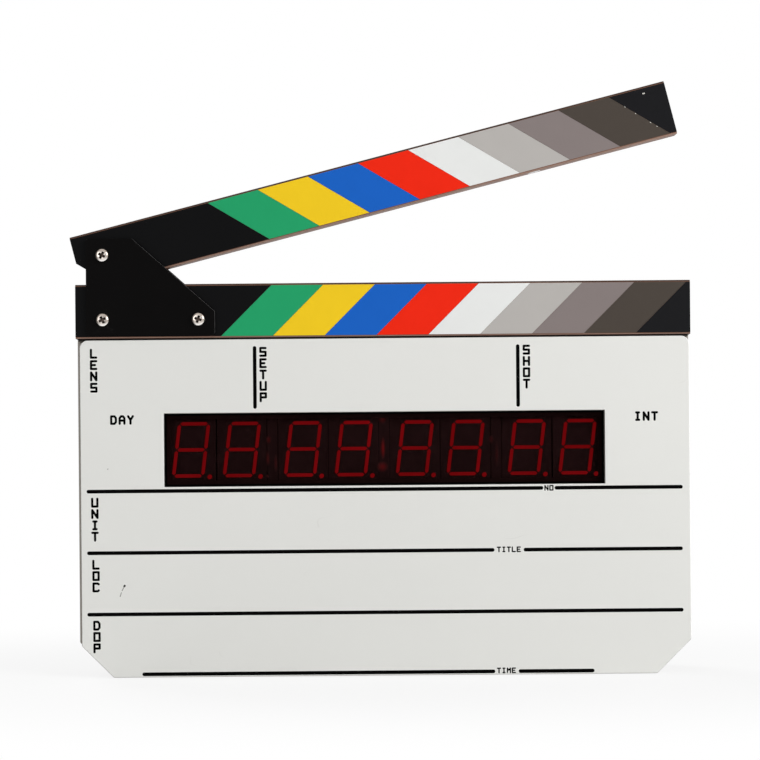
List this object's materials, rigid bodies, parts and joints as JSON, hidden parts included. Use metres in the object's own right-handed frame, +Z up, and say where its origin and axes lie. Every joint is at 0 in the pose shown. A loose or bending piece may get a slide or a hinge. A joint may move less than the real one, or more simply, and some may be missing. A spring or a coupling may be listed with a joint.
{
  "type": "clapperboard",
  "caption": "Clapperboard with a timecode display: white board, dark red display window, hinged wooden clapsticks with colour stripes, black hinge plate, battery door and switch well behind.",
  "frame": {"origin": "middle of the bottom face that it stands on, halfway through the depth of the board", "axes": "+X to the right as the front is read, +Y from the front to the back, +Z up"},
  "size_m": [0.2819, 0.0461, 0.2695],
  "materials": {
    "plate_white": "satin translucent acrylic",
    "lamp_sheet": "matt lamp sheet",
    "filter_red": "dark red tinted window",
    "pan_paint": "satin grey powder coat",
    "post_metal": "plain",
    "screw_steel": "zinc plated",
    "screw_bright": "bright plated",
    "digit_black": "matt",
    "segment_red": "unlit diffused segments",
    "circuit_green": "solder mask",
    "chip_black": "moulded",
    "switch_plastic": "moulded",
    "knob_black": "moulded",
    "button_red": "moulded",
    "box_plastic": "moulded",
    "cell_wrap": "plain printed sleeve",
    "contact_plate": "nickel plated",
    "strip_rubber": "matt",
    "stick_wood": "oiled hardwood",
    "hinge_black": "satin black",
    "bush_brass": "turned",
    "magnet_plate": "nickel plated",
    "reed_glass": "clear tube",
    "stripe_black": "satin printed film",
    "stripe_green": "satin printed film",
    "stripe_yellow": "satin printed film",
    "stripe_blue": "satin printed film",
    "stripe_red": "satin printed film",
    "stripe_white": "satin printed film",
    "stripe_light_grey": "satin printed film",
    "stripe_mid_grey": "satin printed film",
    "stripe_dark_grey": "satin printed film"
  },
  "bodies": {
    "board": {"face_plate": "plate_white", "el_panel": "lamp_sheet", "display_filter": "filter_red", "chassis": "pan_paint", "chassis_posts": "post_metal", "rear_cover": "pan_paint", "cover_screws": "screw_steel", "damping_strip": "strip_rubber", "stick_screws": "screw_steel", "digit_blocks": "digit_black", "digit_segments": "segment_red", "display_board": "circuit_green", "board_spacers": "post_metal", "logic_board": "circuit_green", "logic_parts": "chip_black", "control_tray": "pan_paint", "switch_bodies": "switch_plastic", "panel_nuts": "screw_steel", "rate_switch": "switch_plastic", "button_switch": "switch_plastic", "timecode_jack": "screw_bright", "jack_nut": "screw_bright", "battery_box": "box_plastic", "cells": "cell_wrap", "cell_contacts": "contact_plate", "lower_stick": "stick_wood", "lower_stripe_black": "stripe_black", "lower_stripe_green": "stripe_green", "lower_stripe_yellow": "stripe_yellow", "lower_stripe_blue": "stripe_blue", "lower_stripe_red": "stripe_red", "lower_stripe_white": "stripe_white", "lower_stripe_light_grey": "stripe_light_grey", "lower_stripe_mid_grey": "stripe_mid_grey", "lower_stripe_dark_grey": "stripe_dark_grey", "front_hinge_plate": "hinge_black", "rear_hinge_plate": "hinge_black", "hinge_screws": "screw_bright", "hinge_nuts": "screw_steel", "pivot_washers": "screw_steel", "reed_switch": "reed_glass"},
    "clap_stick": {"upper_stick": "stick_wood", "pivot_bush": "bush_brass", "sync_magnet": "magnet_plate", "upper_stripe_black": "stripe_black", "upper_stripe_green": "stripe_green", "upper_stripe_yellow": "stripe_yellow", "upper_stripe_blue": "stripe_blue", "upper_stripe_red": "stripe_red", "upper_stripe_white": "stripe_white", "upper_stripe_light_grey": "stripe_light_grey", "upper_stripe_mid_grey": "stripe_mid_grey", "upper_stripe_dark_grey": "stripe_dark_grey"},
    "power_toggle": {"power_lever": "screw_bright"},
    "brightness_toggle": {"brightness_lever": "screw_bright"},
    "rate_dial": {"rate_knob": "knob_black"},
    "set_key": {"set_button": "button_red"},
    "battery_door": {"battery_cover": "pan_paint"},
    "left_thumb_screw": {"thumb_screw_left": "screw_bright"},
    "right_thumb_screw": {"thumb_screw_right": "screw_bright"}
  },
  "joints": [
    {"name": "clap_hinge", "type": "hinge", "parent": "board", "child": "clap_stick", "pos_m": [-0.1271, -0.01265, 0.1922], "axis": [0, -1, 0], "range_deg": [-14.3, 70]},
    {"name": "power_throw", "type": "hinge", "parent": "board", "child": "power_toggle", "pos_m": [-0.036, 0.0106, 0.10195], "axis": [1, 0, 0], "range_deg": [-13, 13]},
    {"name": "brightness_throw", "type": "hinge", "parent": "board", "child": "brightness_toggle", "pos_m": [-0.012, 0.0106, 0.10195], "axis": [1, 0, 0], "range_deg": [-13, 13]},
    {"name": "rate_turn", "type": "hinge", "parent": "board", "child": "rate_dial", "pos_m": [0.012, 0.015, 0.10195], "axis": [0, 1, 0], "range_deg": [-135, 135]},
    {"name": "set_press", "type": "slide", "parent": "board", "child": "set_key", "axis": [0, -1, 0], "range_m": [0, 0.0015], "stiffness_N_per_m": 600, "springref_m": -0.001},
    {"name": "cover_lift", "type": "slide", "parent": "board", "child": "battery_door", "axis": [0, 1, 0], "range_m": [0, 0.03]},
    {"name": "left_screw_turn", "type": "hinge", "parent": "battery_door", "child": "left_thumb_screw", "pos_m": [-0.08575, 0.019, 0.042], "axis": [0, 1, 0], "continuous": true},
    {"name": "right_screw_turn", "type": "hinge", "parent": "battery_door", "child": "right_thumb_screw", "pos_m": [0.08575, 0.019, 0.042], "axis": [0, 1, 0], "continuous": true}
  ]
}
